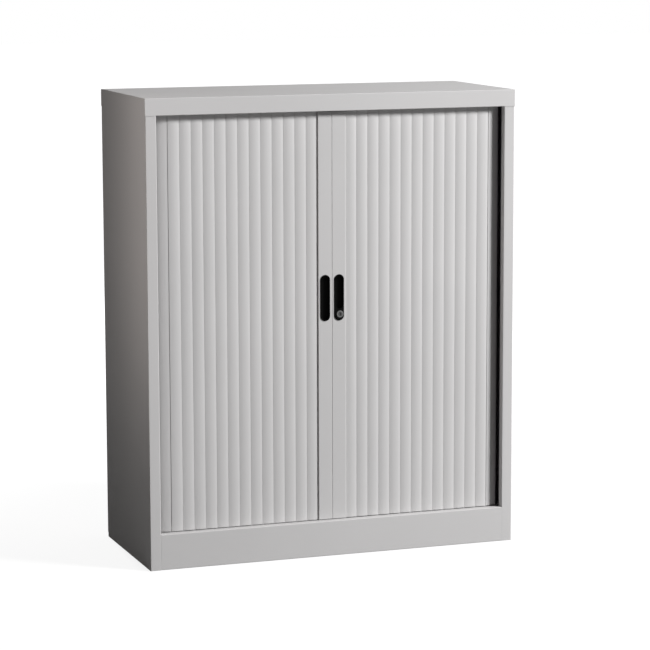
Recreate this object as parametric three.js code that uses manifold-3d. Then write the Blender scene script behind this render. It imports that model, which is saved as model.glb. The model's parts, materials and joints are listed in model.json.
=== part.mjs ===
// A steel cupboard with two roller-shutter (tambour) doors. Millimetres, +Z up.
// X runs across the front, Y runs to the back, and the origin is on the floor at the middle.
import * as THREE from "three";
import { mergeVertices } from "three/addons/utils/BufferGeometryUtils.js";
import Module from "manifold-3d";

const wasm = await Module();
wasm.setup();

// Overall size
const width = 1000;
const depth = 420;
const height = 1200;

// Folded sheet steel
const sheet = 1;
const bendRadius = 2;
const bendSteps = 3;
const seatGap = 0.3;
const overrun = 5;

// Lid: its front skirt is the header over the doors
const skirtDrop = 44;
const lidEdgeRadius = 2;
const lidCornerRadius = 2;
const headerHem = 8;
const headerLap = 10;

// Side panels, back and plinth
const openingWidth = 940;
const stileReturn = 18;
const backFlange = 22;
const floorFlange = 20;
const plinthHeight = 92;
const plinthFootReturn = 15;
const backLift = 10;
const backHem = 12;

// Curtain of slats: the line of joints is the middle of the beads that link them
const curtainInset = 24;
const slatCount = 14;
const cornerLead = 6.5;
const slatCrest = 6.5;
const slatSag = 1.5;
const slatSkin = 1.4;
const slatGroove = 0.35;
const beadRadius = 1.8;
const neckStart = 0.3;
const neckEnd = 1.5;
const socketClearance = 0.5;
const socketWall = 1.2;
const socketMouth = THREE.MathUtils.degToRad(15);
const socketTip = THREE.MathUtils.degToRad(95);
const socketRoot = THREE.MathUtils.degToRad(125);
const cornerRadius = 40;
const pocketInset = 19;
const footGap = 3;

// Tracks that the slat ends run in
const trackWall = 2;
const trackBase = 2;
const trackDepth = 11.4;
const trackClearance = 0.5;
const trackInnerRadius = 46;
const trackBackGap = 5;
const slatTopPlay = 2;

// Base and inner top: pressed pans whose rim carries the tracks
const panRise = 12;

// Side liners and shelves
const linerInset = 41;
const linerFront = 82;
const linerHem = 10;
const linerFlange = 12;
const slotPitch = 50;
const slotStart = 46;
const slotWidth = 3;
const slotHeight = 14;
const slotFrontInset = 33;
const slotBackInset = 42;
const shelfInset = 88;
const shelfBackGap = 17;
const shelfLip = 25;
const shelfReturn = 12;
const shelfSideLip = 20;
const lowerShelfCount = 6;
const upperShelfCount = 13;
const hookThick = 2.4;
const hookHeight = 4;
const hookDrop = 5;
const hookReach = 2.5;

// Lead bars and handles
const barWidth = 38;
const barGap = 0.5;
const barFace = 1.8;
const barProud = 2.5;
const guideHeight = 15;
const barWall = 1.6;
const barReturn = 4.5;
const barEdgeRadius = 1.2;
const handleWidth = 26;
const handleLength = 120;
const handleCentre = 675;
const handleRim = 1.2;
const handleFlange = 1;
const handleDepth = 11;
const handleWall = 1.5;
const cupFillet = 3;

// Lock in the lower end of the right handle
const lockOffset = 1.5;
const lockRise = 17;
const lockLand = 13;
const lockHeadRadius = 9;
const lockHeadThick = 3;
const lockHeadChamfer = 0.8;
const lockBodyRadius = 8;
const lockBodyEnd = 5.5;
const plugRadius = 5.5;
const plugProud = 0.5;
const keySlotWidth = 1.8;
const keySlotHeight = 7;
const keySlotDepth = 6;
const tailHalf = 3;
const tailLength = 4.5;
const camThick = 2.5;
const camHubRadius = 8;
const camArm = 36;
const camWidth = 9;
const camProng = 4;
const camProngRise = 7;
const keeperThick = 1.5;
const keeperPlate = 22;
const keeperInset = 8;
const keeperHeight = 38;
const keeperBelow = 12;
const keeperTabLift = 6;
const keeperTabDepth = 13;

// Base rails and levelling feet
const railHeight = 42;
const railLevel = 28;
const railReach = 65;
const railLip = 14;
const nutRadius = 8;
const nutHeight = 9;
const footSideInset = 42;
const footFrontInset = 44;
const footBackInset = 30;
const padRadius = 19;
const padThick = 7;
const padChamfer = 2;
const padLift = 1;
const studRadius = 4;
const studTop = 52;

// Places that follow from the sizes above
const halfWidth = width / 2;
const lidFront = -depth / 2;
const carcassHalf = halfWidth - sheet - seatGap;
const carcassFront = lidFront + sheet + seatGap;
const carcassBack = depth / 2 - sheet - seatGap;
const carcassTop = height - sheet - 2 * seatGap;
const stileEdge = openingWidth / 2;
const headerBottom = height - skirtDrop;
const backFace = carcassBack - sheet;
const sideBack = backFace - seatGap;
const jointLine = lidFront + curtainInset + slatCrest;
const pocketLine = halfWidth - pocketInset;
const cornerStart = pocketLine - cornerRadius;
const cornerEnd = jointLine + cornerRadius;
const slatPitch = (cornerStart - cornerLead - barWidth) / (slatCount - 1);
const socketRadius = beadRadius + socketClearance;
const socketOuter = socketRadius + socketWall;
const trackFrontSide = slatCrest + trackClearance;
const trackBackSide = socketOuter + trackClearance;
const trackFrontFace = jointLine - trackFrontSide - trackWall;
const barFront = jointLine - slatCrest - barProud;
const ledgeEnd = trackFrontFace - seatGap;
const trackEnd = sideBack - trackBackGap;
const lowTrack = plinthHeight - panRise + seatGap;
const highTrack = headerBottom + panRise - seatGap;
const footTop = plinthHeight + footGap;
const headLow = headerBottom - footGap;
const slatBottom = lowTrack + trackBase + seatGap;
const slatTop = highTrack - trackBase - slatTopPlay;
const linerX = halfWidth - linerInset;
const meeting = seatGap / 2;

// Finishes
function finish(color, roughness, metalness) {
  return new THREE.MeshStandardMaterial({ color, roughness, metalness });
}
const paint = () => finish(0xc9c7c6, 0.45, 0.1);
const slatPlastic = () => finish(0xc6c4c4, 0.5, 0);
const trackPlastic = () => finish(0xb9b8b4, 0.5, 0);
const blackPlastic = () => finish(0x0b0b0c, 0.4, 0);
const nickel = () => finish(0x9a9a9c, 0.3, 0.9);
const zinc = () => finish(0xa9aaa6, 0.4, 0.9);

// Geometry helpers
function solidOf(geometry) {
  const bare = geometry.clone();
  bare.deleteAttribute("normal");
  bare.deleteAttribute("uv");
  const merged = mergeVertices(bare, 1e-4);
  const mesh = new wasm.Mesh({
    numProp: 3,
    vertProperties: new Float32Array(merged.attributes.position.array),
    triVerts: new Uint32Array(merged.index.array),
  });
  return new wasm.Manifold(mesh);
}

function geometryOf(solid) {
  const mesh = solid.getMesh();
  const geometry = new THREE.BufferGeometry();
  geometry.setAttribute("position", new THREE.BufferAttribute(mesh.vertProperties, 3));
  geometry.setIndex(new THREE.BufferAttribute(mesh.triVerts, 1));
  geometry.computeVertexNormals();
  return geometry;
}

// Which way an outline's own axes point when it is extruded along x, y or z.
const unitX = new THREE.Vector3(1, 0, 0);
const unitY = new THREE.Vector3(0, 1, 0);
const unitZ = new THREE.Vector3(0, 0, 1);
const outlineAxes = {
  x: [unitY, unitZ, unitX],
  y: [unitX, unitZ, unitY.clone().negate()],
  z: [unitX, unitY, unitZ],
};

function asShape(outline) {
  return outline instanceof THREE.Shape ? outline : new THREE.Shape(outline);
}

// An outline in (y, z), (x, z) or (x, y), extruded along x, y or z from one place to another.
function extruded(outline, axis, from, to, curveSegments = 8) {
  const settings = { depth: to - from, bevelEnabled: false, curveSegments };
  const geometry = new THREE.ExtrudeGeometry(asShape(outline), settings);
  const place = new THREE.Matrix4().makeBasis(...outlineAxes[axis]);
  const start = axis === "y" ? to : from;
  place.setPosition(start * (axis === "x"), start * (axis === "y"), start * (axis === "z"));
  return solidOf(geometry.applyMatrix4(place));
}

function block([x0, x1], [y0, y1], [z0, z1]) {
  const box = new THREE.BoxGeometry(x1 - x0, y1 - y0, z1 - z0);
  return solidOf(box.translate((x0 + x1) / 2, (y0 + y1) / 2, (z0 + z1) / 2));
}

function points(list) {
  return list.map(([a, b]) => new THREE.Vector2(a, b));
}

function arc(cx, cy, radius, from, to, steps) {
  return Array.from({ length: steps + 1 }, (_, i) => {
    const angle = from + ((to - from) * i) / steps;
    return new THREE.Vector2(cx + radius * Math.cos(angle), cy + radius * Math.sin(angle));
  });
}

// The closed outline of a folded sheet: a line of folds, with the sheet lying on the line's left.
function foldedSheet(list, thick = sheet, radius = bendRadius) {
  const line = points(list);
  const near = [];
  const far = [];
  line.forEach((p, i) => {
    const before = i > 0 ? p.clone().sub(line[i - 1]).normalize() : null;
    const after = i < line.length - 1 ? line[i + 1].clone().sub(p).normalize() : null;
    const along = before ?? after;
    const left = new THREE.Vector2(-along.y, along.x);
    if (!before || !after) {
      near.push(p);
      far.push(p.clone().addScaledVector(left, thick));
      return;
    }
    const side = Math.sign(before.cross(after));
    const angle = Math.acos(before.dot(after));
    const nearRadius = side > 0 ? radius : radius - thick;
    const centre = p
      .clone()
      .addScaledVector(before, -nearRadius * Math.tan(angle / 2))
      .addScaledVector(left, side * nearRadius);
    for (let k = 0; k <= bendSteps; k++) {
      const out = left.clone().multiplyScalar(-side);
      out.rotateAround(new THREE.Vector2(), (side * angle * k) / bendSteps);
      near.push(centre.clone().addScaledVector(out, nearRadius));
      far.push(centre.clone().addScaledVector(out, nearRadius - side * thick));
    }
  });
  return [...near, ...far.reverse()];
}

// A rectangle with two rounded upper corners, or with four.
function roundedRectangle([x0, x1], [y0, y1], radius, lower = 0) {
  const steps = bendSteps + 1;
  const quarter = Math.PI / 2;
  return [
    ...(lower
      ? arc(x0 + lower, y0 + lower, lower, 2 * quarter, 3 * quarter, steps)
      : points([[x0, y0]])),
    ...(lower
      ? arc(x1 - lower, y0 + lower, lower, 3 * quarter, 4 * quarter, steps)
      : points([[x1, y0]])),
    ...arc(x1 - radius, y1 - radius, radius, 0, quarter, steps),
    ...arc(x0 + radius, y1 - radius, radius, quarter, 2 * quarter, steps),
  ];
}

function stadium(cx, cz, wide, tall) {
  const radius = wide / 2;
  const straight = tall / 2 - radius;
  const shape = new THREE.Shape();
  shape.absarc(cx, cz + straight, radius, 0, Math.PI, false);
  shape.absarc(cx, cz - straight, radius, Math.PI, 2 * Math.PI, false);
  shape.closePath();
  return shape;
}

function circle(cx, cy, radius) {
  return new THREE.Shape().absarc(cx, cy, radius, 0, 2 * Math.PI, false);
}

// A body turned about an axis along y through (x, z), from (radius, y) pairs.
function turned(profile, x, z, segments = 28) {
  return solidOf(new THREE.LatheGeometry(points(profile), segments).translate(x, 0, z));
}

const cabinet = new THREE.Group();

function add(parent, name, shape, material) {
  const mesh = new THREE.Mesh(geometryOf(shape), material);
  mesh.name = name;
  parent.add(mesh);
  return mesh;
}

// Lid
function lidBlock(inset, bottom) {
  const x = [-halfWidth + inset, halfWidth - inset];
  const y = [lidFront + inset, depth / 2 - inset];
  const z = [bottom, height - inset];
  const edge = lidEdgeRadius - inset;
  const corner = lidCornerRadius - inset;
  return extruded(roundedRectangle(x, z, edge), "y", ...y)
    .intersect(extruded(roundedRectangle(y, z, edge), "x", ...x))
    .intersect(extruded(roundedRectangle(x, y, corner, corner), "z", ...z));
}

function lid() {
  const reach = stileEdge - seatGap;
  const fold = foldedSheet([
    [lidFront, headerBottom + headerLap],
    [lidFront, headerBottom],
    [ledgeEnd, headerBottom],
    [ledgeEnd, headerBottom + headerHem],
  ]);
  const cutTop = headerBottom + headerLap / 2;
  return lidBlock(0, headerBottom)
    .subtract(lidBlock(sheet, headerBottom - overrun))
    .subtract(
      block([-reach, reach], [lidFront - overrun, lidFront + overrun], [headerBottom - overrun, cutTop]),
    )
    .add(extruded(fold, "x", -reach, reach));
}

// Side panel with its stile, its back flange and the flange that it stands on
function sidePanel() {
  const plan = foldedSheet([
    [stileEdge, carcassFront + stileReturn],
    [stileEdge, carcassFront],
    [carcassHalf, carcassFront],
    [carcassHalf, sideBack],
    [carcassHalf - backFlange, sideBack],
  ]);
  const flange = block(
    [carcassHalf - floorFlange, carcassHalf - sheet / 2],
    [carcassFront + bendRadius, sideBack - bendRadius],
    [0, sheet],
  );
  return extruded(plan, "z", 0, carcassTop).add(flange);
}

function backPanel() {
  const hemHalf = carcassHalf - backFlange - seatGap;
  const folded = foldedSheet([
    [carcassBack - backHem, backLift],
    [carcassBack, backLift],
    [carcassBack, carcassTop],
    [carcassBack - backHem, carcassTop],
  ]);
  const wing = block(
    [-carcassHalf, carcassHalf],
    [backFace, carcassBack],
    [backLift + bendRadius, carcassTop - bendRadius],
  );
  return extruded(folded, "x", -hemHalf, hemHalf).add(wing);
}

function plinth() {
  const half = stileEdge - seatGap;
  const folded = foldedSheet([
    [carcassFront + plinthFootReturn, 0],
    [carcassFront, 0],
    [carcassFront, plinthHeight],
    [ledgeEnd, plinthHeight],
    [ledgeEnd, plinthHeight - panRise + seatGap],
  ].reverse());
  const front = extruded(folded, "x", -half, half);
  const endDepth = [carcassFront + sheet / 2, carcassFront + stileReturn];
  const endHeight = [sheet / 2, plinthHeight - sheet / 2];
  return front
    .add(block([half - sheet, half], endDepth, endHeight))
    .add(block([-half, sheet - half], endDepth, endHeight));
}

// Half plan of the band that the curtain runs in, from its front side to its back side
function trackBand(front, back, start, end) {
  const backRadius = trackInnerRadius + trackBackSide - back;
  const backCentre = trackInnerRadius + trackBackSide;
  const steps = 9;
  return [
    new THREE.Vector2(start, jointLine - front),
    ...arc(cornerStart, cornerEnd, cornerRadius + front, -Math.PI / 2, 0, steps),
    new THREE.Vector2(pocketLine + front, end),
    new THREE.Vector2(pocketLine - back, end),
    ...arc(pocketLine - backCentre, jointLine + backCentre, backRadius, 0, -Math.PI / 2, steps),
    new THREE.Vector2(start, jointLine + back),
  ];
}

// The bottom track holds the feet of the slats, and the top one the whole slat
function track(bottom, openUp) {
  const walls = trackBand(trackFrontSide + trackWall, trackBackSide + trackWall, meeting, trackEnd);
  const front = openUp ? trackBackSide : trackFrontSide;
  const groove = trackBand(front, trackBackSide, meeting - overrun, trackEnd - trackWall);
  const top = bottom + trackDepth;
  const [low, high] = openUp ? [bottom + trackBase, top + overrun] : [bottom - overrun, top - trackBase];
  return extruded(walls, "z", bottom, top).subtract(extruded(groove, "z", low, high));
}

// Plan of a pan's raised middle, set in from the tracks
function panPlan(inset) {
  const side = trackBackSide + trackWall + seatGap + inset;
  const backCentre = trackInnerRadius + trackBackSide;
  const radius = backCentre - side;
  const back = sideBack - inset;
  const right = [
    ...arc(pocketLine - backCentre, jointLine + backCentre, radius, -Math.PI / 2, 0, 9),
    new THREE.Vector2(pocketLine - side, back),
  ];
  const left = right.map((p) => new THREE.Vector2(-p.x, p.y)).reverse();
  return [...right, ...left];
}

// A pan: its raised middle is a floor or a ceiling, and its rim lies behind the tracks
function pan(rimLow, faceHigh, rimFront) {
  const up = faceHigh > rimLow;
  const rim = up ? [rimLow, rimLow + sheet] : [rimLow - sheet, rimLow];
  const face = up ? faceHigh - sheet : faceHigh + sheet;
  const outerX = carcassHalf - sheet - seatGap;
  const notchX = stileEdge - 2 * seatGap - sheet;
  const notchY = carcassFront + stileReturn + seatGap;
  const rimBack = sideBack - sheet - seatGap;
  const plan = points([
    [-notchX, rimFront],
    [notchX, rimFront],
    [notchX, notchY],
    [outerX, notchY],
    [outerX, rimBack],
    [-outerX, rimBack],
    [-outerX, notchY],
    [-notchX, notchY],
  ]);
  const middle = up ? [rimLow, faceHigh] : [faceHigh, rimLow];
  const hollow = up ? [rimLow - overrun, face] : [face, rimLow + overrun];
  return extruded(plan, "z", ...rim)
    .add(extruded(panPlan(0), "z", ...middle))
    .subtract(extruded(panPlan(sheet), "z", ...hollow));
}

// Side liner: the inner wall of the pocket, with slots for the shelf hooks
function liner() {
  const front = lidFront + linerFront;
  const low = plinthHeight + seatGap;
  const high = headerBottom - seatGap;
  const plan = foldedSheet([
    [linerX + linerFlange, sideBack],
    [linerX, sideBack],
    [linerX, front],
  ]);
  const hem = block([linerX + sheet / 2, linerX + 2 * sheet], [front, front + linerHem], [low, high]);
  let wall = extruded(plan, "z", low, high).add(hem);
  const rows = Math.floor((high - low - slotStart) / slotPitch) + 1;
  for (let row = 0; row < rows; row++) {
    const z = slotLevel(row);
    for (const y of slotPlaces) {
      wall = wall.subtract(
        block([linerX - overrun, linerX + overrun], [y - slotWidth / 2, y + slotWidth / 2], [
          z - slotHeight / 2,
          z + slotHeight / 2,
        ]),
      );
    }
  }
  return wall;
}

const slotPlaces = [lidFront + linerFront + slotFrontInset, sideBack - slotBackInset];

function slotLevel(row) {
  return plinthHeight + slotStart + row * slotPitch;
}

// Shelf: a folded tray that hangs by four hooks in the liners' slots
function shelf(row) {
  const top = slotLevel(row) + slotHeight / 2;
  const front = lidFront + shelfInset;
  const back = sideBack - shelfBackGap;
  const half = linerX - seatGap;
  const tray = foldedSheet([
    [front + shelfReturn, top - shelfLip],
    [front, top - shelfLip],
    [front, top],
    [back, top],
    [back, top - shelfLip],
    [back - shelfReturn, top - shelfLip],
  ].reverse());
  let made = extruded(tray, "x", -half, half);
  const hookLow = slotLevel(row) - hookHeight / 2;
  const hookHigh = hookLow + hookHeight;
  const behind = linerX + sheet + seatGap;
  for (const side of [-1, 1]) {
    const lip = [side * half, side * (half - sheet)].sort((a, b) => a - b);
    made = made.add(
      block(lip, [front + bendRadius, back - bendRadius], [top - shelfSideLip, top - sheet / 2]),
    );
    for (const y of slotPlaces) {
      const hook = points([
        [side * (half - sheet / 2), hookHigh],
        [side * (behind + hookReach), hookHigh],
        [side * (behind + hookReach), hookLow - hookDrop],
        [side * behind, hookLow - hookDrop],
        [side * behind, hookLow],
        [side * (half - sheet / 2), hookLow],
      ]);
      made = made.add(extruded(hook, "y", y - hookThick / 2, y + hookThick / 2));
    }
  }
  return made;
}

// Socket at the end of a slat or bar, from the tip beside the groove round to its root
function socketOutline(centre, root) {
  const turn = 2 * Math.PI;
  return [
    ...arc(centre, 0, socketRadius, socketTip, turn + socketMouth, 8),
    ...arc(centre, 0, socketOuter, turn + socketMouth, root, 8),
  ];
}

// The slat's section: x along the curtain from its own bead, y in front of the line of joints
function slatSection() {
  const left = slatGroove / 2;
  const right = slatPitch - slatGroove / 2;
  const half = (right - left) / 2;
  const radius = (half * half) / (2 * slatSag) + slatSag / 2;
  const cx = (left + right) / 2;
  const cy = slatCrest - radius;
  const spread = Math.asin(half / radius);
  const inner = radius - slatSkin;
  const leftInner = Math.acos((neckEnd - cx) / inner);
  const rootX = slatPitch + socketOuter * Math.cos(socketRoot);
  const rightInner = Math.acos((rootX - cx) / inner);
  const neckHigh = Math.asin(neckEnd / beadRadius);
  const neckLow = Math.asin(neckStart / beadRadius);
  return [
    ...arc(cx, cy, radius, Math.PI / 2 + spread, Math.PI / 2 - spread, 8),
    ...socketOutline(slatPitch, socketRoot),
    ...arc(cx, cy, inner, rightInner, leftInner, 6).slice(1),
    ...arc(0, 0, beadRadius, Math.PI / 2 - neckHigh, -1.5 * Math.PI - neckLow, 8),
  ];
}

// Sections are drawn with +y to the front, so this turns them to face -Y
function sectionToPlan(section) {
  return section.map((p) => new THREE.Vector2(p.x, -p.y));
}

// A slat's face stops short of the ledge, and its bead and socket reach down into the track
function slat() {
  const underFace = block(
    [-slatPitch, 2 * slatPitch],
    [-slatCrest - overrun, -socketOuter],
    [slatBottom - overrun, footTop],
  );
  return extruded(sectionToPlan(slatSection()), "z", slatBottom, slatTop).subtract(underFace);
}

// A point of the line of joints, by its distance from the start of the corner
function jointPoint(s) {
  const arcLength = (cornerRadius * Math.PI) / 2;
  if (s <= 0) return new THREE.Vector2(cornerStart + s, jointLine);
  if (s >= arcLength) return new THREE.Vector2(pocketLine, cornerEnd + s - arcLength);
  const angle = s / cornerRadius - Math.PI / 2;
  return new THREE.Vector2(cornerRadius, 0)
    .rotateAround(new THREE.Vector2(), angle)
    .add(new THREE.Vector2(cornerStart, cornerEnd));
}

// How far along the line of joints the next joint lies, one pitch away in a straight line
function nextJoint(s) {
  const here = jointPoint(s);
  let low = s;
  let high = s + 2 * slatPitch;
  for (let i = 0; i < 50; i++) {
    const middle = (low + high) / 2;
    if (jointPoint(middle).distanceTo(here) < slatPitch) low = middle;
    else high = middle;
  }
  return low;
}

function curtain(parent, side) {
  const shape = slat();
  let s = barWidth - cornerStart;
  for (let i = 1; i <= slatCount; i++) {
    const from = jointPoint(s);
    s = nextJoint(s);
    const to = jointPoint(s);
    const name = `slat_${side}_${String(i).padStart(2, "0")}`;
    const mesh = add(parent, name, shape, slatPlastic());
    mesh.position.set(from.x, from.y, 0);
    mesh.rotation.z = Math.atan2(to.y - from.y, to.x - from.x);
  }
}

// Lead bar: a channel with a flat face, a meeting edge and a socket for the first slat.
// Its face stands proud of the slats between ledge and header, and a guide closes each end
function leadBar() {
  const left = meeting;
  const right = barWidth - barGap;
  const back = -socketOuter;
  const quarter = Math.PI / 2;
  const r = barEdgeRadius;
  const proud = slatCrest + barProud;
  const section = [
    ...arc(left + r, proud - r, r, 2 * quarter, quarter, bendSteps),
    ...arc(right - r, proud - r, r, quarter, 0, bendSteps),
    ...socketOutline(barWidth, Math.PI),
    ...points([
      [barWidth - socketOuter, proud - barFace],
      [left + barWall, proud - barFace],
      [left + barWall, back + barWall],
      [left + barWall + barReturn, back + barWall],
      [left + barWall + barReturn, back],
      [left, back],
    ]),
  ];
  const plan = sectionToPlan(section).map((p) => new THREE.Vector2(p.x, p.y + jointLine));
  const window = stadium(
    barWidth / 2,
    handleCentre,
    handleWidth - 2 * handleFlange + 2 * seatGap,
    handleLength - 2 * handleFlange + 2 * seatGap,
  );
  const guideWidth = [left, barWidth - socketOuter];
  const guideDepth = [jointLine - socketOuter, jointLine + socketOuter];
  const endWidth = [left - overrun, barWidth];
  const endDepth = [barFront - overrun, jointLine - socketOuter];
  return extruded(plan, "z", slatBottom, slatTop)
    .subtract(extruded(window, "y", barFront - overrun, barFront + barFace + seatGap))
    .subtract(block(endWidth, endDepth, [slatBottom - overrun, footTop]))
    .subtract(block(endWidth, endDepth, [headLow, slatTop + overrun]))
    .add(block(guideWidth, guideDepth, [slatBottom, footTop + guideHeight]))
    .add(block(guideWidth, guideDepth, [headLow - guideHeight, slatTop]));
}

const rimFront = barFront - seatGap - handleRim;
const cupBack = barFront + handleDepth;

// Recessed grip: a rim on the face of the bar and a cup behind it
function handleShell() {
  const rim = stadium(barWidth / 2, handleCentre, handleWidth, handleLength);
  const inset = 2 * handleFlange;
  const cup = stadium(barWidth / 2, handleCentre, handleWidth - inset, handleLength - inset);
  return extruded(rim, "y", rimFront, rimFront + handleRim).add(
    extruded(cup, "y", rimFront, cupBack),
  );
}

// The hollow of the cup, rounded at its bottom
function cupHollow(low, high) {
  const wide = handleWidth - 2 * handleFlange - 2 * handleWall;
  const shape = stadium(barWidth / 2, (low + high) / 2, wide, high - low);
  const geometry = new THREE.ExtrudeGeometry(shape, {
    depth: cupBack - handleWall - cupFillet - rimFront,
    bevelEnabled: true,
    bevelThickness: cupFillet,
    bevelSize: cupFillet,
    bevelOffset: -cupFillet,
    bevelSegments: 3,
    curveSegments: 8,
  });
  const place = new THREE.Matrix4().makeBasis(unitX, unitZ.clone().negate(), unitY);
  place.setPosition(0, rimFront, low + high);
  return solidOf(geometry.applyMatrix4(place)).add(
    extruded(shape, "y", rimFront - overrun, rimFront + cupFillet),
  );
}

const cupEnd = handleLength / 2 - handleFlange - handleWall;
const lockX = barWidth / 2 + lockOffset;
const lockZ = handleCentre - handleLength / 2 + lockRise;

function plainHandle() {
  return handleShell().subtract(cupHollow(handleCentre - cupEnd, handleCentre + cupEnd));
}

function lockHandle() {
  const hole = circle(lockX, lockZ, lockBodyRadius + seatGap);
  return handleShell()
    .subtract(cupHollow(lockZ + lockLand, handleCentre + cupEnd))
    .subtract(extruded(hole, "y", rimFront - overrun, cupBack + overrun, 28));
}

// Lock barrel: a collar on the rim and a body through the handle
const lockFace = rimFront - seatGap - lockHeadThick;
const barrelEnd = cupBack + lockBodyEnd;

function lockBarrel() {
  const bore = plugRadius + seatGap;
  return turned(
    [
      [bore, lockFace],
      [lockHeadRadius - lockHeadChamfer, lockFace],
      [lockHeadRadius, lockFace + lockHeadChamfer],
      [lockHeadRadius, rimFront - seatGap],
      [lockBodyRadius, rimFront - seatGap],
      [lockBodyRadius, barrelEnd],
      [bore, barrelEnd],
      [bore, lockFace],
    ],
    lockX,
    lockZ,
  );
}

function lockPlug() {
  const front = lockFace - plugProud;
  const shoulder = barrelEnd + seatGap;
  const plug = turned(
    [
      [0, front],
      [plugRadius - plugProud, front],
      [plugRadius, lockFace],
      [plugRadius, shoulder],
      [0, shoulder],
    ],
    lockX,
    lockZ,
    24,
  );
  const tail = block(
    [lockX - tailHalf, lockX + tailHalf],
    [shoulder - sheet, shoulder + tailLength],
    [lockZ - tailHalf, lockZ + tailHalf],
  );
  const key = block(
    [lockX - keySlotWidth / 2, lockX + keySlotWidth / 2],
    [front - overrun, front + keySlotDepth],
    [lockZ - keySlotHeight / 2, lockZ + keySlotHeight / 2],
  );
  return plug.add(tail).subtract(key);
}

// Cam: it hangs down at rest, and swings to the left to hook behind the keeper
function lockCam() {
  const front = barrelEnd + 2 * seatGap;
  const back = front + camThick;
  const half = camWidth / 2;
  const hole = tailHalf + seatGap;
  const hub = extruded(circle(lockX, lockZ, camHubRadius), "y", front, back, 24);
  const arm = points([
    [lockX - half, lockZ],
    [lockX - half, lockZ - camArm + camProng],
    [lockX - half - camProngRise, lockZ - camArm + camProng],
    [lockX - half - camProngRise, lockZ - camArm],
    [lockX + half, lockZ - camArm],
    [lockX + half, lockZ],
  ]);
  return hub
    .add(extruded(arm, "y", front, back))
    .subtract(
      block([lockX - hole, lockX + hole], [front - overrun, back + overrun], [lockZ - hole, lockZ + hole]),
    );
}

// Keeper: a plate behind the left handle with a tab that the cam hooks round
function lockKeeper() {
  const front = cupBack + seatGap;
  const plan = foldedSheet(
    [
      [-keeperInset - keeperPlate, front],
      [-keeperInset, front],
      [-keeperInset, front + keeperTabDepth],
    ],
    keeperThick,
    bendRadius + keeperThick / 2,
  );
  const low = lockZ - keeperBelow;
  const notch = block(
    [-keeperInset - keeperThick - seatGap, overrun],
    [front + keeperThick, front + keeperTabDepth + overrun],
    [low - overrun, lockZ + keeperTabLift],
  );
  return extruded(plan, "z", low, low + keeperHeight).subtract(notch);
}

// Base rail: it ties the foot of the side panel and carries two nuts for the feet
const footX = carcassHalf - footSideInset;
const footPlaces = [lidFront + footFrontInset, sideBack - footBackInset];

function baseRail() {
  const outer = carcassHalf - sheet - seatGap;
  const section = foldedSheet([
    [outer, railLevel + railHeight],
    [outer, railLevel],
    [outer - railReach, railLevel],
    [outer - railReach, railLevel - railLip],
  ].reverse());
  const front = carcassFront + stileReturn + 2 * seatGap + sheet;
  let rail = extruded(section, "y", front, sideBack - 2 * sheet - seatGap);
  for (const y of footPlaces) {
    const nut = circle(footX, y, nutRadius);
    const bore = circle(footX, y, studRadius + seatGap);
    rail = rail
      .add(extruded(nut, "z", railLevel - nutHeight, railLevel + sheet / 2, 6))
      .subtract(extruded(bore, "z", railLevel - nutHeight - overrun, railLevel + overrun, 16));
  }
  return rail;
}

function levellingFoot(y) {
  const top = padLift + padThick;
  const profile = points([
    [0, padLift],
    [padRadius - padChamfer, padLift],
    [padRadius, padLift + padChamfer],
    [padRadius, top - padChamfer],
    [padRadius - padChamfer, top],
    [studRadius, top],
    [studRadius, studTop],
    [0, studTop],
  ]);
  const geometry = new THREE.LatheGeometry(profile, 20).rotateX(Math.PI / 2);
  return solidOf(geometry.translate(footX, y, 0));
}

// The carcass
add(cabinet, "top_cap", lid(), paint());
add(cabinet, "back_panel", backPanel(), paint());
add(cabinet, "plinth", plinth(), paint());
const plinthInside = carcassFront + sheet + seatGap;
add(cabinet, "base_panel", pan(plinthHeight - panRise - sheet, plinthHeight, plinthInside), paint());
add(cabinet, "top_inner_panel", pan(headerBottom + panRise + sheet, headerBottom, carcassFront), paint());
add(cabinet, "shelf_lower", shelf(lowerShelfCount), paint());
add(cabinet, "shelf_upper", shelf(upperShelfCount), paint());

// Both sides, the left one mirrored
for (const side of ["left", "right"]) {
  const group = new THREE.Group();
  group.scale.x = side === "left" ? -1 : 1;
  cabinet.add(group);
  add(group, `side_panel_${side}`, sidePanel(), paint());
  add(group, `side_liner_${side}`, liner(), paint());
  add(group, `bottom_track_${side}`, track(lowTrack, true), trackPlastic());
  add(group, `top_track_${side}`, track(highTrack - trackDepth, false), trackPlastic());
  add(group, `lead_bar_${side}`, leadBar(), paint());
  curtain(group, side);
  add(group, `handle_${side}`, side === "left" ? plainHandle() : lockHandle(), blackPlastic());
  add(group, `base_rail_${side}`, baseRail(), zinc());
  footPlaces.forEach((y, i) => {
    add(group, `levelling_foot_${i ? "back" : "front"}_${side}`, levellingFoot(y), zinc());
  });
}

// The lock
add(cabinet, "lock_barrel", lockBarrel(), nickel());
add(cabinet, "lock_plug", lockPlug(), nickel());
add(cabinet, "lock_cam", lockCam(), zinc());
add(cabinet, "lock_keeper", lockKeeper(), zinc());

export default cabinet;
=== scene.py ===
import bpy
import bmesh
import json
import math
from mathutils import Matrix, Vector


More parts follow.
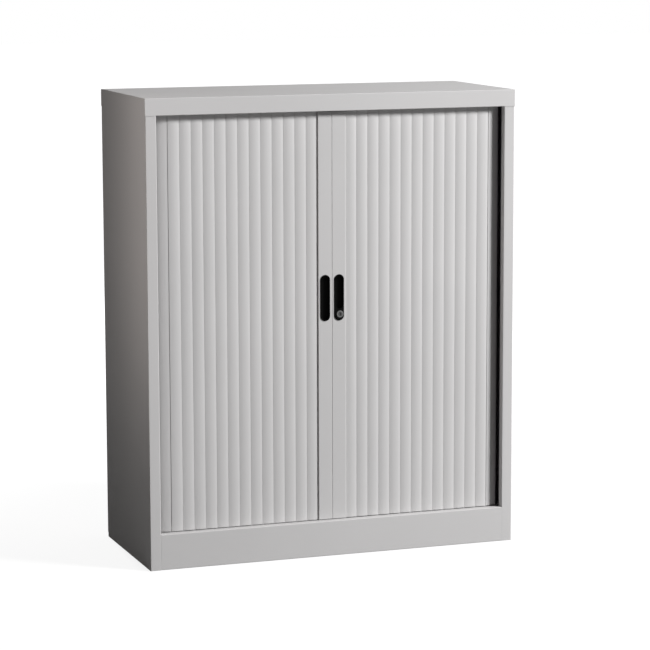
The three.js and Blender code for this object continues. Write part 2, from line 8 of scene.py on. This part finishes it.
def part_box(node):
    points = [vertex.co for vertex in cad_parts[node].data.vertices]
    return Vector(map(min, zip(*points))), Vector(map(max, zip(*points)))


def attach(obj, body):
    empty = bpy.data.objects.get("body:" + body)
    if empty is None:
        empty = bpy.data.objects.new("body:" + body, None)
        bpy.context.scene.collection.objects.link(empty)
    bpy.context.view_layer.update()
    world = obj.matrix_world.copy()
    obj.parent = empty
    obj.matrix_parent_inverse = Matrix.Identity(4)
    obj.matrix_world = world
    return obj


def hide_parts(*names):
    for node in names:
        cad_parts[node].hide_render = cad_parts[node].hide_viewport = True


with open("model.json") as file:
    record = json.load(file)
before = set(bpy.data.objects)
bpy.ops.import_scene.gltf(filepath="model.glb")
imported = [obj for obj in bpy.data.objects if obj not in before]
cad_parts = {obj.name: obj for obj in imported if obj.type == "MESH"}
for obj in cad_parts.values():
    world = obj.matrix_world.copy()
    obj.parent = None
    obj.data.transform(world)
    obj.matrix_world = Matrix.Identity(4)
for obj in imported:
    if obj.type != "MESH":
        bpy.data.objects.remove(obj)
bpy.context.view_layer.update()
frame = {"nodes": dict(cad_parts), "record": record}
nodes = frame["nodes"]
body_of_node = {
    node: body
    for body, members in frame["record"]["behaviour"]["bodies"].items()
    for node in members
}
slot_of_node = {row["node"]: row["material_slot"] for row in frame["record"]["subparts"]}

SIDES = (("left", -1), ("right", 1))
SHEET = 0.001
JOINT_LINE = -0.1795
TRACK_FLOOR = 0.002

WARM_GREY = (1.0, 0.985, 0.985)
ZINC_TINT = (1.0, 1.0, 0.95)
PAINT_LEVEL = 0.6
BAR_LEVEL = 0.59
SLAT_LEVEL = 0.58
TRACK_LEVEL = 0.46
BLACK_LEVEL = 0.0025
NICKEL_LEVEL = 0.14
DARK_NICKEL_LEVEL = 0.07
ZINC_LEVEL = 0.42
LOCK_SPANGLE = 400.0


# Finishes

class Amount:
    """A number, colour or vector on its way through a finish's nodes."""

    def __init__(self, finish, socket):
        self.finish = finish
        self.socket = socket

    def _worked(self, operation, *values):
        sockets = dict(enumerate(values))
        return self.finish.get("ShaderNodeMath", 0, {"operation": operation}, sockets)

    def __add__(self, other):
        return self._worked("ADD", self, other)

    def __radd__(self, other):
        return self._worked("ADD", other, self)

    def __mul__(self, other):
        return self._worked("MULTIPLY", self, other)

    def __rmul__(self, other):
        return self._worked("MULTIPLY", other, self)

    def at_most(self, other):
        return self._worked("MINIMUM", self, other)

    def stepped(self, low, high):
        """0 below low, 1 above high, and smooth between them."""
        return self.finish.get(
            "ShaderNodeMapRange",
            0,
            {"interpolation_type": "SMOOTHSTEP"},
            {"Value": self, "From Min": low, "From Max": high},
        )


class Finish:
    """A material and the nodes that make it."""

    def __init__(self, name, **constants):
        self.material = bpy.data.materials.new(name)
        self.material.use_nodes = True
        self.tree = self.material.node_tree
        self.surface = self.tree.nodes["Principled BSDF"]
        for socket, value in constants.items():
            self.surface.inputs[socket.replace("_", " ")].default_value = value

    def node(self, kind, settings=None, sockets=None):
        node = self.tree.nodes.new(kind)
        for key, value in (settings or {}).items():
            setattr(node, key, value)
        for key, value in (sockets or {}).items():
            self.put(node.inputs[key], value)
        return node

    def put(self, socket, value):
        if isinstance(value, Amount):
            self.tree.links.new(value.socket, socket)
        else:
            socket.default_value = value

    def get(self, kind, output, settings=None, sockets=None):
        return Amount(self, self.node(kind, settings, sockets).outputs[output])

    def place(self, stretch=(1, 1, 1)):
        where = self.get("ShaderNodeTexCoord", "Object")
        return self.get("ShaderNodeMapping", "Vector", None, {"Vector": where, "Scale": stretch})

    def noise(self, scale, detail=2.0, stretch=(1, 1, 1)):
        return self.get(
            "ShaderNodeTexNoise",
            "Fac",
            {"noise_dimensions": "3D"},
            {"Vector": self.place(stretch), "Scale": scale, "Detail": detail, "Roughness": 0.5},
        )

    def mixed(self, share, low, high):
        settings = {"data_type": "RGBA", "blend_type": "MIX"}
        factor, first, second, result = 0, 6, 7, 2
        sockets = {factor: share, first: low, second: high}
        return self.get("ShaderNodeMix", result, settings, sockets)

    def colour(self, value):
        self.put(self.surface.inputs["Base Color"], value)

    def roughness(self, value):
        self.put(self.surface.inputs["Roughness"], value)

    def relief(self, height, distance):
        sockets = {"Height": height, "Distance": distance, "Strength": 1.0}
        self.put(self.surface.inputs["Normal"], self.get("ShaderNodeBump", 0, None, sockets))


def shade(level, tint=(1.0, 1.0, 1.0)):
    return (level * tint[0], level * tint[1], level * tint[2], 1.0)


def scaled(colour, share):
    return tuple(channel * share for channel in colour[:3]) + (1.0,)


def powder_coat(name, level):
    """Satin powder coat: an even grey with a fine orange peel."""
    finish = Finish(name, Metallic=0.0, IOR=1.45, Specular_IOR_Level=0.03)
    cloud = finish.noise(scale=2.4, detail=3.0)
    speck = finish.noise(scale=900.0, detail=1.0)
    uneven = (cloud * 0.7 + speck * 0.3).stepped(low=0.25, high=0.75)
    darker, lighter = shade(level * 0.975, WARM_GREY), shade(level * 1.025, WARM_GREY)
    finish.colour(finish.mixed(uneven, darker, lighter))
    finish.roughness(0.6 + 0.1 * finish.noise(scale=60.0))
    finish.relief(finish.noise(scale=520.0), distance=0.00006)
    return finish.material


def drawn_plastic(name, level):
    """Extruded slats: fine draw lines that run up and down."""
    finish = Finish(name, Metallic=0.0, IOR=1.46, Specular_IOR_Level=0.4)
    lines = finish.noise(scale=420.0, detail=3.0, stretch=(1, 1, 0.006))
    cloud = finish.noise(scale=3.0)
    uneven = (cloud * 0.6 + lines * 0.4).stepped(low=0.3, high=0.7)
    darker, lighter = shade(level * 0.975, WARM_GREY), shade(level * 1.02, WARM_GREY)
    finish.colour(finish.mixed(uneven, darker, lighter))
    finish.roughness(0.4 + 0.12 * lines)
    finish.relief(lines, distance=0.00003)
    return finish.material


def moulded_plastic(name, colour, roughness=0.45, specular=0.5):
    """Moulded plastic with a spark-eroded grain."""
    finish = Finish(name, Metallic=0.0, IOR=1.46, Specular_IOR_Level=specular)
    grit = finish.noise(scale=800.0)
    worn = finish.noise(scale=25.0, detail=3.0)
    uneven = (grit * 0.5 + worn * 0.5).stepped(low=0.3, high=0.7)
    finish.colour(finish.mixed(uneven, scaled(colour, 0.85), scaled(colour, 1.2)))
    finish.roughness(roughness - 0.06 + 0.12 * worn)
    finish.relief(grit, distance=0.00005)
    return finish.material


def plated_metal(name, colour, roughness, spangle=90.0):
    """Plated metal with faint crystals and rubbing marks."""
    finish = Finish(name, Metallic=0.95)
    sockets = {"Vector": finish.place(), "Scale": spangle}
    crystal = finish.get("ShaderNodeTexVoronoi", "Distance", None, sockets)
    rubbed = finish.noise(scale=300.0, detail=3.0, stretch=(1, 1, 0.15))
    uneven = (crystal * 0.6 + rubbed * 0.6).at_most(1.0)
    finish.colour(finish.mixed(uneven, scaled(colour, 0.86), colour))
    finish.roughness(roughness + 0.12 * rubbed)
    finish.relief(rubbed, distance=0.00003)
    return finish.material


finishes = {
    "painted_steel": powder_coat("painted steel", PAINT_LEVEL),
    "painted_bar": powder_coat("painted bar", BAR_LEVEL),
    "slat_plastic": drawn_plastic("slat plastic", SLAT_LEVEL),
    "track_plastic": moulded_plastic("track plastic", shade(TRACK_LEVEL, WARM_GREY)),
    "black_plastic": moulded_plastic(
        "black plastic", shade(BLACK_LEVEL), roughness=0.55, specular=0.04
    ),
    "nickel": plated_metal(
        "nickel plate", shade(NICKEL_LEVEL), roughness=0.34, spangle=LOCK_SPANGLE
    ),
    "zinc_plate": plated_metal("zinc plate", shade(ZINC_LEVEL, ZINC_TINT), roughness=0.38),
}
own_finishes = {
    "lock_plug": plated_metal(
        "dark nickel", shade(DARK_NICKEL_LEVEL), roughness=0.35, spangle=LOCK_SPANGLE
    ),
}


# Pieces

SMOOTH_TURN = math.radians(38.0)
FLAT_TURN = math.radians(0.5)
BEVELLED_TURN = math.radians(50.0)
MERGE = 1e-5
TURNED_MERGE = 1e-6
EDGES = {
    "handle_left": 0.0004,
    "handle_right": 0.0004,
    "lock_barrel": 0.0003,
    "lock_plug": 0.0002,
    "lock_cam": 0.0003,
}


def rounded(mesh, edges, offset):
    bmesh.ops.bevel(
        mesh,
        geom=edges,
        offset=offset,
        segments=2,
        affect="EDGES",
        profile=0.5,
        material=-1,
        clamp_overlap=True,
    )


def finished(mesh, name, slot_name, body, material=None):
    """Makes an object of a bmesh: smooth, but sharp at its edges, on its body."""
    for face in mesh.faces:
        face.smooth = True
    for edge in mesh.edges:
        turn = edge.calc_face_angle(math.pi) if len(edge.link_faces) == 2 else math.pi
        edge.smooth = turn < SMOOTH_TURN
    data = bpy.data.meshes.new(name)
    mesh.to_mesh(data)
    mesh.free()
    piece = bpy.data.objects.new(name, data)
    bpy.context.scene.collection.objects.link(piece)
    piece.data.materials.append(material or finishes[slot_name])
    even = piece.modifiers.new("flat faces stay flat", "WEIGHTED_NORMAL")
    even.keep_sharp = True
    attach(piece, body)
    return piece


def foot_let_down(mesh, gap=0.003, drop=0.0015):
    """Lets the face of a slat or bar down, close over the plinth's ledge."""
    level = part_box("plinth")[1].z + gap
    foot = [vert for vert in mesh.verts if abs(vert.co.z - level) < MERGE]
    bmesh.ops.translate(mesh, vec=(0.0, 0.0, -drop), verts=foot)


def dressed(node):
    """A merged copy of a CAD node, with its finish and any rounding of its sharp edges."""
    mesh = bmesh.new()
    mesh.from_mesh(nodes[node].data)
    bmesh.ops.remove_doubles(mesh, verts=mesh.verts, dist=MERGE)
    bmesh.ops.dissolve_limit(mesh, angle_limit=FLAT_TURN, verts=mesh.verts, edges=mesh.edges)
    if node.startswith(("slat_", "lead_bar_")):
        foot_let_down(mesh)
    if node in EDGES:
        sharp = [
            edge
            for edge in mesh.edges
            if len(edge.link_faces) == 2 and edge.calc_face_angle() > BEVELLED_TURN
        ]
        rounded(mesh, sharp, EDGES[node])
    piece = finished(
        mesh, "shown_" + node, slot_of_node[node], body_of_node[node], own_finishes.get(node)
    )
    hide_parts(node)


for node in nodes:
    dressed(node)


# Small parts

def turned(mesh, profile, place, along, steps=16):
    """Spins a profile of (radius, height) about an axis and sets it down at a place."""
    before = set(mesh.verts)
    rim = [mesh.verts.new((radius, 0.0, rise)) for radius, rise in profile]
    edges = [mesh.edges.new(pair) for pair in zip(rim, rim[1:])]
    bmesh.ops.spin(
        mesh,
        geom=rim + edges,
        cent=(0, 0, 0),
        axis=(0, 0, 1),
        dvec=(0, 0, 0),
        angle=2 * math.pi,
        steps=steps,
        use_merge=True,
        use_normal_flip=False,
        use_duplicate=False,
    )
    made = [vert for vert in mesh.verts if vert not in before]
    turn = Vector((0, 0, 1)).rotation_difference(Vector(along)).to_matrix().to_4x4()
    bmesh.ops.transform(mesh, matrix=Matrix.Translation(place) @ turn, verts=made)


def closed(mesh):
    """Merges the poles and seams of turned parts and points their faces outwards."""
    bmesh.ops.remove_doubles(mesh, verts=mesh.verts, dist=TURNED_MERGE)
    bmesh.ops.recalc_face_normals(mesh, faces=mesh.faces)


def rivets(name, places, along, slot_name, body, radius=0.0032, rise=0.0011):
    """Domed rivet heads."""
    sunk = -0.0003
    dome = [
        (0.0, rise),
        (radius * 0.45, rise * 0.9),
        (radius * 0.8, rise * 0.55),
        (radius, 0.0),
        (radius * 0.9, sunk),
        (0.0, sunk),
    ]
    mesh = bmesh.new()
    for place in places:
        turned(mesh, dome, place, along)
    closed(mesh)
    finished(mesh, name, slot_name, body)


def recessed_screws(name, places, along, body, radius, rise=0.0022):
    """Pan heads with a recess for the driver."""
    head = [
        (0.0, rise * 0.35),
        (radius * 0.2, rise),
        (radius * 0.75, rise * 0.92),
        (radius * 0.95, rise * 0.6),
        (radius, 0.0),
        (0.0, 0.0),
    ]
    mesh = bmesh.new()
    for place in places:
        turned(mesh, head, place, along, steps=12)
    closed(mesh)
    finished(mesh, name, "zinc_plate", body)


def back_rivets(rows=7, edge_inset=0.011, end_inset=0.05):
    """Rivets up both sides of the back."""
    low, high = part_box("back_panel")
    across = high.x - edge_inset
    spacing = (high.z - low.z - 2 * end_inset) / (rows - 1)
    places = [
        (sign * across, high.y, low.z + end_inset + spacing * row)
        for _, sign in SIDES
        for row in range(rows)
    ]
    rivets("back_rivets", places, (0, 1, 0), "painted_steel", "carcass")


def keeper_rivets(side_inset=0.009, end_inset=0.008, thick=0.0015):
    """Two rivets that hold the keeper to the left door's bar."""
    low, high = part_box("lock_keeper")
    places = [
        (low.x + side_inset, low.y + thick, z) for z in (low.z + end_inset, high.z - end_inset)
    ]
    rivets(
        "keeper_rivets", places, (0, 1, 0), "zinc_plate", "door_left", radius=0.0025, rise=0.001
    )


def cam_screw():
    """The screw that holds the cam on the plug's tail."""
    low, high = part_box("lock_plug")
    place = ((low.x + high.x) / 2, high.y, (low.z + high.z) / 2)
    recessed_screws("cam_screw", [place], (0, 1, 0), "lock", radius=0.0042)


def track_screws(spots=(0.06, 0.18, 0.3, 0.42)):
    """Flush screws along the front of each track, under the slats."""
    for side, sign in SIDES:
        for level, up in (("bottom", 1), ("top", -1)):
            low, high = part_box(f"{level}_track_{side}")
            floor = (low.z if up > 0 else high.z) + up * TRACK_FLOOR
            places = [(sign * across, JOINT_LINE, floor) for across in spots]
            name = f"track_screws_{level}_{side}"
            recessed_screws(name, places, (0, 0, up), "carcass", radius=0.0028, rise=0.0002)


def liner_rivets(edge_inset=0.006, row_shares=(0.06, 0.35, 0.65, 0.94)):
    """Rivets up both edges of the inner walls, on the side of the shelves."""
    for side, sign in SIDES:
        low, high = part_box(f"side_liner_{side}")
        inner = low.x if sign > 0 else high.x
        places = [
            (inner, y, low.z + (high.z - low.z) * share)
            for y in (low.y + edge_inset, high.y - edge_inset)
            for share in row_shares
        ]
        rivets(
            f"liner_rivets_{side}",
            places,
            (-sign, 0, 0),
            "painted_steel",
            "carcass",
            radius=0.0025,
            rise=0.0009,
        )


def rail_rivets(drop=0.012, row_shares=(0.08, 0.36, 0.64, 0.92)):
    """Rivets that hold each base rail to the foot of its side."""
    for side, sign in SIDES:
        low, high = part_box(f"base_rail_{side}")
        web = (high.x if sign > 0 else low.x) - sign * SHEET
        places = [
            (web, low.y + (high.y - low.y) * share, high.z - drop) for share in row_shares
        ]
        rivets(
            f"rail_rivets_{side}",
            places,
            (-sign, 0, 0),
            "zinc_plate",
            "carcass",
            radius=0.003,
            rise=0.001,
        )


def foot_threads(pitch=0.00125, core=0.0039, crest=0.0042, lead=0.016, tip=0.001):
    """Screw threads on the studs of the feet."""
    for node in [name for name in nodes if name.startswith("levelling_foot_")]:
        low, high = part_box(node)
        middle = ((low.x + high.x) / 2, (low.y + high.y) / 2, 0.0)
        start, end = low.z + lead, high.z - tip
        profile = [(0.0, start), (core, start)]
        for turn in range(int((end - start) / pitch)):
            profile += [
                (crest, start + (turn + 0.5) * pitch),
                (core, start + (turn + 1) * pitch),
            ]
        profile.append((0.0, profile[-1][1]))
        mesh = bmesh.new()
        turned(mesh, profile, middle, (0, 0, 1), steps=20)
        closed(mesh)
        name = node.replace("levelling_foot", "foot_thread")
        finished(mesh, name, "zinc_plate", body_of_node[node])


def paint_seams(wide=0.0024, deep=0.0015, short=0.001, outset=0.0009, inset=0.00095):
    """Fills the folds between the plinth and the stiles, as a welded and painted joint is."""
    low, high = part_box("plinth")
    for side, sign in SIDES:
        mesh = bmesh.new()
        bmesh.ops.create_cube(mesh, size=1.0)
        bmesh.ops.scale(mesh, vec=(wide, deep, high.z - low.z - short), verts=mesh.verts)
        middle = (sign * (high.x + outset), low.y + inset, (low.z + high.z) / 2)
        bmesh.ops.translate(mesh, vec=middle, verts=mesh.verts)
        rounded(mesh, list(mesh.edges), offset=0.0002)
        finished(mesh, f"paint_seam_{side}", "painted_steel", "carcass")


back_rivets()
keeper_rivets()
cam_screw()
track_screws()
liner_rivets()
rail_rivets()
foot_threads()
paint_seams()


# Stage

def backdrop(near_glow=0.84, near=0.8, far=2.5):
    """A pale floor that keeps the shadow and looks white, a little less so near the foot."""
    mesh = bmesh.new()
    bmesh.ops.create_grid(mesh, x_segments=1, y_segments=1, size=30)
    data = bpy.data.meshes.new("floor")
    mesh.to_mesh(data)
    mesh.free()
    floor = bpy.data.objects.new("floor", data)
    bpy.context.scene.collection.objects.link(floor)
    finish = Finish("floor white", Base_Color=shade(0.16), Roughness=0.9, Emission_Strength=1.0)
    rays = finish.node("ShaderNodeLightPath")
    seen = Amount(finish, rays.outputs["Is Camera Ray"])
    mirrored = Amount(finish, rays.outputs["Is Glossy Ray"])
    through = Amount(finish, rays.outputs["Is Transmission Ray"])
    away = finish.get(
        "ShaderNodeVectorMath", "Value", {"operation": "LENGTH"}, {0: finish.place()}
    )
    white = near_glow + (1.0 - near_glow) * away.stepped(near, far)
    glow = (seen + mirrored + through).at_most(1.0) * white
    finish.put(
        finish.surface.inputs["Emission Color"], finish.mixed(glow, shade(0.0), shade(1.0))
    )
    floor.data.materials.append(finish.material)


def surroundings(fill):
    """White where the camera or a reflection looks, and a weak fill elsewhere."""
    world = bpy.data.worlds.new("studio")
    bpy.context.scene.world = world
    world.use_nodes = True
    tree = world.node_tree
    tree.nodes.clear()
    rays = tree.nodes.new("ShaderNodeLightPath")
    looked = rays.outputs["Is Camera Ray"]
    for way in ("Is Transmission Ray", "Is Glossy Ray"):
        either = tree.nodes.new("ShaderNodeMath")
        either.operation = "MAXIMUM"
        tree.links.new(looked, either.inputs[0])
        tree.links.new(rays.outputs[way], either.inputs[1])
        looked = either.outputs[0]
    mix = tree.nodes.new("ShaderNodeMixShader")
    tree.links.new(looked, mix.inputs[0])
    for socket, strength in ((1, fill), (2, 1.0)):
        background = tree.nodes.new("ShaderNodeBackground")
        background.inputs["Color"].default_value = shade(1.0)
        background.inputs["Strength"].default_value = strength
        tree.links.new(background.outputs[0], mix.inputs[socket])
    out = tree.nodes.new("ShaderNodeOutputWorld")
    tree.links.new(mix.outputs[0], out.inputs[0])


def lamp(name, place, aim, size, power, colour=(1.0, 1.0, 1.0)):
    data = bpy.data.lights.new(name, "AREA")
    data.shape = "RECTANGLE"
    data.size, data.size_y = size
    data.energy = power
    data.color = colour
    light = bpy.data.objects.new(name, data)
    light.location = place
    light.visible_camera = False
    light.rotation_euler = (Vector(aim) - Vector(place)).to_track_quat("-Z", "Y").to_euler()
    bpy.context.scene.collection.objects.link(light)


def camera(place, yaw, pitch, roll, focal_pixels, frame_pixels=650.0, sensor=36.0):
    """Angles in degrees: yaw from +Y towards +X, pitch downwards, roll about the view."""
    yaw, pitch, roll = math.radians(yaw), math.radians(pitch), math.radians(roll)
    data = bpy.data.cameras.new("camera")
    data.lens = sensor * focal_pixels / frame_pixels
    data.sensor_width = sensor
    data.clip_end = 100.0
    eye = bpy.data.objects.new("camera", data)
    bpy.context.scene.collection.objects.link(eye)
    level = math.cos(pitch)
    ahead = Vector((math.sin(yaw) * level, math.cos(yaw) * level, -math.sin(pitch)))
    right = Vector((math.cos(yaw), -math.sin(yaw), 0.0))
    up = right.cross(ahead)
    across = right * math.cos(roll) + up * math.sin(roll)
    above = up * math.cos(roll) - right * math.sin(roll)
    turn = Matrix((across, above, -ahead)).transposed()
    eye.matrix_world = Matrix.Translation(place) @ turn.to_4x4()
    bpy.context.scene.camera = eye


backdrop()
surroundings(fill=0.03)
lamp(
    "key",
    place=(5.6, -4.7, 4.3),
    aim=(0.0, 0.0, 0.8),
    size=(1.7, 1.7),
    power=905.0,
)
lamp(
    "top",
    place=(0.6, 0.0, 2.2),
    aim=(0.6, 0.0, 1.2),
    size=(0.8, 0.8),
    power=2.3,
)
lamp(
    "side strip",
    place=(-0.92, -0.26, 1.48),
    aim=(-0.5, -0.26, 1.48),
    size=(0.1, 2.0),
    power=1.95,
    colour=(1.0, 0.92, 0.87),
)
lamp(
    "back",
    place=(-0.3, 4.9, 0.9),
    aim=(-0.3, 0.2, 0.9),
    size=(0.35, 1.2),
    power=105.0,
)
camera(
    place=(-2.257, -6.451, 1.613),
    yaw=19.66,
    pitch=8.62,
    roll=-0.15,
    focal_pixels=2612.0,
)
bpy.context.scene.view_settings.view_transform = "Standard"
